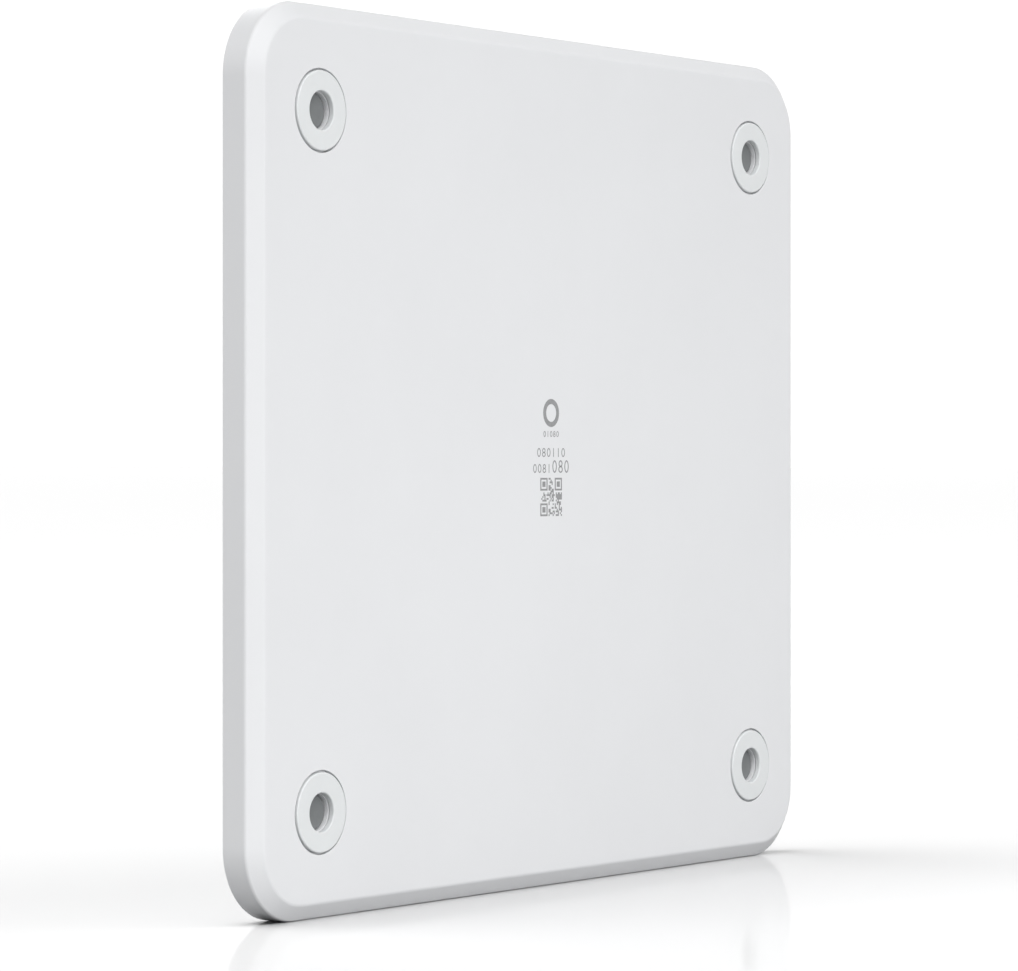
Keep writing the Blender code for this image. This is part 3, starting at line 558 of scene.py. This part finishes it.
code = bmesh.new()
bmesh.ops.create_grid(code, x_segments=code_cells, y_segments=code_cells, size=code_size / 2)
bmesh.ops.translate(code, vec=(0, code_centre, 0), verts=code.verts[:])
draw = random.Random(41)
cell = code_size / code_cells
light = []
for face in sorted(code.faces, key=lambda item: tuple(item.calc_center_median())):
    where = face.calc_center_median()
    column = int((where.x + code_size / 2) / cell)
    row = int((code_centre + code_size / 2 - where.y) / cell)
    filled = draw.random() < 0.5
    for left, top in ((0, 0), (code_cells - corner_square, 0), (0, code_cells - corner_square)):
        across, down = column - left, row - top
        if -1 <= across <= corner_square and -1 <= down <= corner_square:
            depth = min(across, down, corner_square - 1 - across, corner_square - 1 - down)
            filled = depth == 0 or depth >= 2
    if not filled:
        light.append(face)
bmesh.ops.delete(code, geom=light, context="FACES")
code_data = bpy.data.meshes.new("code")
code.to_mesh(code_data)
code.free()
ink.from_mesh(code_data)
bpy.data.meshes.remove(code_data)
bmesh.ops.rotate(ink, cent=(0, 0, 0), verts=ink.verts[:],
                 matrix=Matrix.Rotation(math.pi / 2, 3, "X"))
loose = [vert for vert in ink.verts if not vert.link_faces]
bmesh.ops.delete(ink, geom=loose, context="VERTS")
bmesh.ops.translate(ink, vec=(0, -ink_lift, 0), verts=ink.verts[:])
for face in ink.faces:
    if face.normal.y > 0:
        face.normal_flip()
bmesh.ops.delete(ink, geom=[edge for edge in ink.edges if not edge.link_faces], context="EDGES")
printed = bmesh.ops.extrude_face_region(ink, geom=ink.faces[:], use_keep_orig=True)["geom"]
bmesh.ops.translate(ink, vec=(0, -ink_thickness, 0),
                    verts=[item for item in printed if isinstance(item, bmesh.types.BMVert)])
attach(lift("mounting_face_print", ink, print_grey), "casing")

# ---- Front cover -------------------------------------------------------------------------
# The room-side cover: a thin white moulding that radio waves pass through, with a low
# crown. Its lip drops inside the rear shell, and four bosses take the case screws.
cover_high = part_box("front_cover")[1]
cover_base = rear_high.y + fit_gap
cover_inset = 0.0010
cover_wall = 0.0018
crown_run = 0.026
crown_steps = 20
crown_rounding = 0.6
lip_outer = 0.0025
lip_inner = 0.0041
lip_foot = cover_base - 0.0030
cover_edge = 0.0005
cover_boss = 0.0038
cover_boss_root = 0.0133
bore_end = 0.0126
light_hole = 0.0018
light_hole_start = 0.009
cover_bay = 0.0885
cover_white = lay_finish("cover_white", moulded_grain, {"Grain": 2600.0, "Cloud": 16.0},
                         ((0.730, 0.737, 0.750), (0.750, 0.757, 0.770)), (0.38, 0.48), 0.00002,
                         {"Specular IOR Level": 0.45})


def first_outline(bm, inset, y, radius):
    """A rounded-rectangle outline of the cover, as a closed ring of edges."""
    made = bmesh.ops.create_grid(bm, x_segments=1, y_segments=1, size=0.5)["verts"]
    bmesh.ops.scale(bm, vec=(body_width - 2 * inset, body_height - 2 * inset, 1), verts=made)
    bmesh.ops.rotate(bm, cent=(0, 0, 0), verts=made, matrix=Matrix.Rotation(math.pi / 2, 3, "X"))
    bmesh.ops.translate(bm, vec=(0, y, 0), verts=made)
    bmesh.ops.bevel(bm, geom=made, offset=radius, segments=corner_steps, profile=0.5,
                    affect="VERTICES", material=-1)
    return bm.edges[:]


def next_outline(bm, ring, here, there):
    """Extrude a ring of edges from one (inset, y, corner radius) level to the next."""
    grown = bmesh.ops.extrude_edge_only(bm, edges=ring)["geom"]
    moved = {item for item in grown if isinstance(item, bmesh.types.BMVert)}
    for vert in moved:
        centres = [Vector((math.copysign(body_width / 2 - inset - radius, vert.co.x), y,
                           math.copysign(body_height / 2 - inset - radius, vert.co.z)))
                   for inset, y, radius in (here, there)]
        vert.co = centres[1] + (vert.co - centres[0]) / here[2] * there[2]
    return [item for item in grown if isinstance(item, bmesh.types.BMEdge)
            and item.verts[0] in moved and item.verts[1] in moved]


def crown(first_inset, drop):
    """The crown's levels, from its rim to its flat middle: a quick rise that levels out."""
    rise = cover_high.y - drop - cover_base
    levels = []
    for step in range(crown_steps + 1):
        share = step / crown_steps
        inset = first_inset + crown_run * share
        levels.append((inset, cover_base + rise * (1 - (1 - share) ** 2),
                       corner_radius + crown_rounding * inset))
    return levels


outside = crown(cover_inset, 0)
levels = outside[::-1][:-1] + [
    (cover_inset, cover_base + cover_edge, corner_radius + crown_rounding * cover_inset),
    (cover_inset + cover_edge, cover_base, corner_radius - cover_edge),
    (lip_outer, cover_base, corner_radius - lip_outer),
    (lip_outer, lip_foot, corner_radius - lip_outer),
    (lip_inner, lip_foot, corner_radius - lip_inner),
] + crown(lip_inner, cover_wall)
bm = bmesh.new()
ring = first_outline(bm, *levels[0])
for here, there in zip(levels, levels[1:]):
    ring = next_outline(bm, ring, here, there)
bmesh.ops.contextual_create(bm, geom=ring)
cover = lift("cover_moulding", bm, cover_white)
bosses = bmesh.new()
holes = bmesh.new()
for name in corner_names:
    centre = centre_of("pad_ring_" + name)
    spin_round(bosses, [(0, boss_end + fit_gap), (cover_boss, boss_end + fit_gap),
                        (cover_boss, cover_boss_root), (0, cover_boss_root)],
               centre.x, centre.z, 32)
    spin_round(holes, [(0, boss_end), (shank_hole, boss_end), (shank_hole, bore_end),
                       (0, bore_end)], centre.x, centre.z, 24)
light_centre = centre_of("light_pipe")
spin_round(holes, [
    (0, light_hole_start), (light_hole, light_hole_start),
    (light_hole, cover_high.y - mouth_softness), (light_hole + mouth_softness, cover_high.y),
    (light_hole + mouth_softness, cover_high.y + overcut), (0, cover_high.y + overcut),
], light_centre.x, light_centre.z, 48)
cut(cover, lift("cover_boss_guide", bosses, cover_white), "UNION")
cut(cover, lift("cover_hole_guide", holes, cover_white))
bay = bmesh.new()
add_block(bay, (cover_bay, shell_floor, -bay_half), (past_side, past_crown, bay_half))
cut(cover, lift("cover_bay_guide", bay, cover_white))
seat(shade(cover, 30), "cover_white", "front_cover")

# ---- Port bezel --------------------------------------------------------------------------
# A light grey moulding that lines the plug's bay in the casing's side. It frames the
# network socket and guides the reset button, and its edges are softened by the mould.
bezel_grey = lay_finish("bezel_grey", moulded_grain, {"Grain": 3000.0, "Cloud": 60.0},
                        ((0.500, 0.508, 0.518), (0.540, 0.548, 0.558)), (0.42, 0.55), 0.00002,
                        {"Specular IOR Level": 0.45})


def soften(name, node, finish, width, steps=2):
    """A copy of a CAD node with its moulded or folded edges rounded."""
    bm = bmesh.new()
    bm.from_mesh(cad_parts[node].data)
    bmesh.ops.remove_doubles(bm, verts=bm.verts[:], dist=same_place)
    bmesh.ops.dissolve_limit(bm, angle_limit=math.radians(1), verts=bm.verts[:],
                             edges=bm.edges[:])
    piece = lift(name, bm, finish)
    rounded = piece.modifiers.new("rounded_edges", "BEVEL")
    rounded.width = width
    rounded.segments = steps
    rounded.limit_method = "ANGLE"
    rounded.angle_limit = math.radians(30)
    return shade(piece, 40)


seat(soften("bezel_moulding", "port_bezel", bezel_grey, 0.00018), "bezel_grey", "port_bezel")

# ---- Network socket ----------------------------------------------------------------------
# A low eight-contact socket sunk into the board: a folded tin-plated shield, a black
# plastic body with a latch slot, and sprung gold-plated wires.


def make_rolled_lines():
    """Fine lines left by rolling or brushing, stretched along one direction."""
    group, nodes, links, given, out = texture_group(
        "rolled_lines", (("Lines", "NodeSocketVector", (60.0, 4000.0, 4000.0)),),
        ("Tone", "Gloss", "Height"))
    place = nodes.new("ShaderNodeTexCoord")
    stretch = nodes.new("ShaderNodeVectorMath")
    stretch.operation = "MULTIPLY"
    links.new(place.outputs["Object"], stretch.inputs[0])
    links.new(given.outputs["Lines"], stretch.inputs[1])
    lines = nodes.new("ShaderNodeTexNoise")
    lines.inputs["Scale"].default_value = 1.0
    lines.inputs["Detail"].default_value = 4.0
    links.new(stretch.outputs[0], lines.inputs["Vector"])
    stain = nodes.new("ShaderNodeTexNoise")
    stain.inputs["Scale"].default_value = 90.0
    stain.inputs["Detail"].default_value = 5.0
    links.new(place.outputs["Object"], stain.inputs["Vector"])
    blend = nodes.new("ShaderNodeMath")
    blend.operation = "MULTIPLY_ADD"
    blend.inputs[1].default_value = 0.6
    links.new(stain.outputs["Fac"], blend.inputs[0])
    links.new(lines.outputs["Fac"], blend.inputs[2])
    tone = nodes.new("ShaderNodeMapRange")
    tone.inputs["From Min"].default_value = 0.5
    tone.inputs["From Max"].default_value = 1.1
    links.new(blend.outputs[0], tone.inputs["Value"])
    links.new(tone.outputs["Result"], out.inputs["Tone"])
    links.new(blend.outputs[0], out.inputs["Gloss"])
    links.new(lines.outputs["Fac"], out.inputs["Height"])
    return group


rolled_lines = make_rolled_lines()
tinned_sheet = lay_finish("tinned_sheet", rolled_lines, {"Lines": (90.0, 2500.0, 2500.0)},
                          ((0.56, 0.56, 0.57), (0.76, 0.76, 0.77)), (0.22, 0.42), 0.00001,
                          {"Metallic": 1.0})
socket_black = lay_finish("socket_black", moulded_grain, {"Grain": 3600.0, "Cloud": 200.0},
                          ((0.014, 0.014, 0.015), (0.026, 0.026, 0.027)), (0.38, 0.52), 0.000015,
                          {"Specular IOR Level": 0.5})
contact_gold = lay_finish("contact_gold", rolled_lines, {"Lines": (120.0, 5000.0, 5000.0)},
                          ((0.72, 0.49, 0.16), (0.90, 0.68, 0.28)), (0.18, 0.34), 0.000005,
                          {"Metallic": 1.0})
seat(soften("socket_shield", "jack_shield", tinned_sheet, 0.00006), "sheet_metal", "jack_shield")
seat(soften("socket_body", "jack_body", socket_black, 0.00010), "socket_black", "jack_body")
seat(soften("socket_contacts", "jack_contacts", contact_gold, 0.00005), "contact_gold",
     "jack_contacts")

# ---- Reset button and its switch ---------------------------------------------------------
# A grey plastic pin with a domed end, kept by its flange and pressed with a fingernail or
# a paper clip. It pushes the plunger of a small switch on the board.
button_grey = lay_finish("button_grey", moulded_grain, {"Grain": 4200.0, "Cloud": 300.0},
                         ((0.235, 0.242, 0.250), (0.275, 0.282, 0.290)), (0.40, 0.55), 0.00001,
                         {"Specular IOR Level": 0.45})
low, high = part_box("reset_button")
middle_y, middle_z = (low.y + high.y) / 2, (low.z + high.z) / 2
flange_radius = (high.y - low.y) / 2
pin_radius = 0.0013
flange_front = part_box("port_bezel")[0].x - fit_gap
flange_depth = 0.0008
flange_back = flange_front - flange_depth
bevel = 0.0001
dome = 0.0004
dimple = 0.00005
profile = [
    (0, low.x), (pin_radius - bevel, low.x), (pin_radius, low.x + bevel),
    (pin_radius, flange_back), (flange_radius - bevel, flange_back),
    (flange_radius, flange_back + bevel), (flange_radius, flange_front - bevel),
    (flange_radius - bevel, flange_front), (pin_radius, flange_front),
]
profile += [(pin_radius - dome * (1 - math.cos(math.radians(15 * step))),
             high.x - dome + dome * math.sin(math.radians(15 * step))) for step in range(7)]
profile += [(pin_radius * 0.4, high.x), (0, high.x - dimple)]
bm = bmesh.new()
points = [bm.verts.new((x, middle_y + radius, middle_z)) for radius, x in profile]
edges = [bm.edges.new(pair) for pair in zip(points, points[1:])]
bmesh.ops.spin(bm, geom=points + edges, cent=(0, middle_y, middle_z), axis=(1, 0, 0),
               angle=math.tau, steps=40, use_merge=True)
seat(shade(lift("button_moulding", bm, button_grey)), "button_grey", "reset_button", body="reset")
seat(soften("switch_body", "reset_switch", socket_black, 0.0002, 3), "chip_black", "reset_switch")

# ---- Status light ------------------------------------------------------------------------
# A clear plastic pin that carries the board's light to the cover's face. Its flange stops
# behind the cover, and its end is frosted and very slightly domed.
clear_dome = 0.00025
flange_deep = 0.0013
light_clear = lay_finish("light_clear", moulded_grain, {"Grain": 4200.0, "Cloud": 300.0},
                         ((0.78, 0.82, 0.86), (0.88, 0.92, 0.95)), (0.14, 0.30), 0.000008,
                         {"Transmission Weight": 0.55, "IOR": 1.49})
low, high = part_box("light_pipe")
centre = (low + high) / 2
pin = 0.0015
flange = (high.x - low.x) / 2
cover_inside = cover_high.y - cover_wall
bm = bmesh.new()
spin_round(bm, [
    (0, low.y), (pin, low.y), (pin, cover_inside - flange_deep),
    (flange - bevel, cover_inside - flange_deep), (flange, cover_inside - flange_deep + bevel),
    (flange, cover_inside - fit_gap), (pin, cover_inside - fit_gap),
    (pin, high.y - clear_dome), (pin - clear_dome * 0.24, high.y - clear_dome * 0.4),
    (pin - clear_dome * 0.8, high.y - clear_dome * 0.12), (pin * 0.6, high.y), (0, high.y),
], centre.x, centre.z, 48)
seat(shade(lift("light_guide", bm, light_clear)), "light_clear", "light_pipe")
seat(soften("status_light", "status_led", light_clear, 0.0001), "light_clear", "status_led")

# ---- Screws ------------------------------------------------------------------------------
# Zinc-plated steel screws: four through the rear shell into the cover's bosses, and four
# that hold the board on its posts.
screw_steel = lay_finish("screw_steel", rolled_lines, {"Lines": (900.0, 7000.0, 900.0)},
                         ((0.34, 0.34, 0.36), (0.52, 0.52, 0.54)), (0.26, 0.46), 0.000008,
                         {"Metallic": 1.0})
for name in corner_names:
    seat(soften("case_fixing_" + name, "case_screw_" + name, screw_steel, 0.0001),
         "screw_steel", "case_screw_" + name)
for index in range(1, 5):
    seat(soften(f"board_fixing_{index}", f"board_screw_{index}", screw_steel, 0.0001),
         "screw_steel", f"board_screw_{index}")

# ---- Heat spreader and thermal pads ------------------------------------------------------
# A plain rolled aluminium plate on the rear shell's floor takes the heat of three chips
# through soft grey silicone pads.
rolled_aluminium = lay_finish("rolled_aluminium", rolled_lines, {"Lines": (25.0, 900.0, 1500.0)},
                              ((0.60, 0.61, 0.62), (0.78, 0.79, 0.80)), (0.32, 0.52), 0.00001,
                              {"Metallic": 1.0})
thermal_grey = lay_finish("thermal_grey", moulded_grain, {"Grain": 1600.0, "Cloud": 240.0},
                          ((0.28, 0.31, 0.35), (0.37, 0.40, 0.44)), (0.75, 0.90), 0.00006,
                          {"Specular IOR Level": 0.25})
chip_names = ("processor", "radio_low", "radio_high")
seat(soften("spreader_plate", "heat_spreader", rolled_aluminium, 0.00015), "aluminium",
     "heat_spreader")
for name in chip_names:
    seat(soften("silicone_pad_" + name, "thermal_pad_" + name, thermal_grey, 0.00025, 3),
         "thermal_grey", "thermal_pad_" + name)

# ---- Main board --------------------------------------------------------------------------
# A green circuit board under solder resist. Copper tracks show through as paler lines, and
# plated holes as small bright dots.


def make_copper_pattern():
    """Masks for tracks and plated holes under the resist, and a slow cloud."""
    group, nodes, links, given, out = texture_group(
        "copper_pattern",
        (("Tracks", "NodeSocketFloat", 260.0), ("Holes", "NodeSocketFloat", 380.0)),
        ("Track", "Hole", "Cloud", "Height"))
    place = nodes.new("ShaderNodeTexCoord")
    flat = nodes.new("ShaderNodeVectorMath")
    flat.operation = "MULTIPLY"
    flat.inputs[1].default_value = (1.0, 0.0, 1.0)
    links.new(place.outputs["Object"], flat.inputs[0])
    cells = nodes.new("ShaderNodeTexVoronoi")
    cells.distance = "CHEBYCHEV"
    cells.feature = "F1"
    links.new(flat.outputs[0], cells.inputs["Vector"])
    links.new(given.outputs["Tracks"], cells.inputs["Scale"])
    waves = nodes.new("ShaderNodeMath")
    waves.operation = "PINGPONG"
    waves.inputs[1].default_value = 0.07
    links.new(cells.outputs["Distance"], waves.inputs[0])
    track = nodes.new("ShaderNodeMapRange")
    track.inputs["From Min"].default_value = 0.036
    track.inputs["From Max"].default_value = 0.044
    links.new(waves.outputs[0], track.inputs["Value"])
    dots = nodes.new("ShaderNodeTexVoronoi")
    links.new(flat.outputs[0], dots.inputs["Vector"])
    links.new(given.outputs["Holes"], dots.inputs["Scale"])
    hole = nodes.new("ShaderNodeMapRange")
    hole.inputs["From Min"].default_value = 0.13
    hole.inputs["From Max"].default_value = 0.10
    links.new(dots.outputs["Distance"], hole.inputs["Value"])
    cloud = nodes.new("ShaderNodeTexNoise")
    cloud.inputs["Scale"].default_value = 70.0
    cloud.inputs["Detail"].default_value = 4.0
    links.new(place.outputs["Object"], cloud.inputs["Vector"])
    height = nodes.new("ShaderNodeMath")
    height.operation = "ADD"
    links.new(track.outputs["Result"], height.inputs[0])
    links.new(hole.outputs["Result"], height.inputs[1])
    links.new(track.outputs["Result"], out.inputs["Track"])
    links.new(hole.outputs["Result"], out.inputs["Hole"])
    links.new(cloud.outputs["Fac"], out.inputs["Cloud"])
    links.new(height.outputs[0], out.inputs["Height"])
    return group


board_green = bpy.data.materials.new("board_green")
board_green.use_nodes = True
nodes, links = board_green.node_tree.nodes, board_green.node_tree.links
shader = nodes["Principled BSDF"]
pattern = nodes.new("ShaderNodeGroup")
pattern.node_tree = make_copper_pattern()
resist = nodes.new("ShaderNodeMix")
resist.data_type = "RGBA"
resist.inputs["A"].default_value = (0.010, 0.110, 0.048, 1)
resist.inputs["B"].default_value = (0.022, 0.190, 0.085, 1)
plated = nodes.new("ShaderNodeMix")
plated.data_type = "RGBA"
plated.inputs["B"].default_value = (0.72, 0.58, 0.30, 1)
links.new(pattern.outputs["Track"], resist.inputs["Factor"])
links.new(resist.outputs["Result"], plated.inputs["A"])
links.new(pattern.outputs["Hole"], plated.inputs["Factor"])
links.new(plated.outputs["Result"], shader.inputs["Base Color"])
links.new(pattern.outputs["Hole"], shader.inputs["Metallic"])
sheen = nodes.new("ShaderNodeMapRange")
sheen.inputs["To Min"].default_value = 0.28
sheen.inputs["To Max"].default_value = 0.46
links.new(pattern.outputs["Cloud"], sheen.inputs["Value"])
links.new(sheen.outputs["Result"], shader.inputs["Roughness"])
relief = nodes.new("ShaderNodeBump")
relief.inputs["Strength"].default_value = 0.7
relief.inputs["Distance"].default_value = 0.00003
links.new(pattern.outputs["Height"], relief.inputs["Height"])
links.new(relief.outputs["Normal"], shader.inputs["Normal"])
seat(soften("circuit_board", "main_board", board_green, 0.0001), "board_green", "main_board")

# ---- Parts on the board ------------------------------------------------------------------
# Moulded black chips and transformers, a pressed ferrite inductor, a metal-cased capacitor,
# and the folded tin cans that screen the processor and the two radios.
chip_black = lay_finish("chip_black", moulded_grain, {"Grain": 5200.0, "Cloud": 260.0},
                        ((0.022, 0.022, 0.023), (0.040, 0.040, 0.041)), (0.46, 0.62), 0.00001,
                        {"Specular IOR Level": 0.4})
ferrite_grey = lay_finish("ferrite_grey", moulded_grain, {"Grain": 1500.0, "Cloud": 420.0},
                          ((0.150, 0.158, 0.166), (0.230, 0.238, 0.246)), (0.60, 0.80), 0.00008,
                          {"Specular IOR Level": 0.3})
board_parts = (
    ("lan_transformer", "lan_magnetics", chip_black, "chip_black", 0.0001),
    ("poe_transformer", "power_magnetics", chip_black, "chip_black", 0.0001),
    ("power_inductor", "pressed_inductor", ferrite_grey, "ferrite_grey", 0.0002),
    ("memory_chip", "memory_package", chip_black, "chip_black", 0.0001),
    ("flash_chip", "flash_package", chip_black, "chip_black", 0.0001),
    ("bulk_capacitor", "capacitor_can", tinned_sheet, "sheet_metal", 0.0002),
)
for node, name, finish, slot, width in board_parts:
    seat(soften(name, node, finish, width, 3), slot, node)
for name in chip_names:
    seat(soften("package_" + name, "chip_" + name, chip_black, 0.0001), "chip_black",
         "chip_" + name)
    seat(soften("screening_can_" + name, "shield_can_" + name, tinned_sheet, 0.0001, 3),
         "sheet_metal", "shield_can_" + name)

# ---- Antennas and their leads ------------------------------------------------------------
# Four antennas stamped and folded from tinned sheet, each with a thin black coaxial lead
# to a small gold-plated plug on the board.
lead_black = lay_finish("lead_black", moulded_grain, {"Grain": 3400.0, "Cloud": 500.0},
                        ((0.024, 0.024, 0.025), (0.048, 0.048, 0.050)), (0.36, 0.52), 0.00001,
                        {"Specular IOR Level": 0.45})
for name in corner_names:
    seat(soften("stamped_antenna_" + name, "antenna_" + name, tinned_sheet, 0.0001),
         "sheet_metal", "antenna_" + name)
    seat(soften("snap_plug_" + name, "lead_plug_" + name, contact_gold, 0.0002),
         "contact_gold", "lead_plug_" + name)
    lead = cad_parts["antenna_lead_" + name]
    for entry in lead.material_slots:
        entry.material = lead_black

low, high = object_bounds()
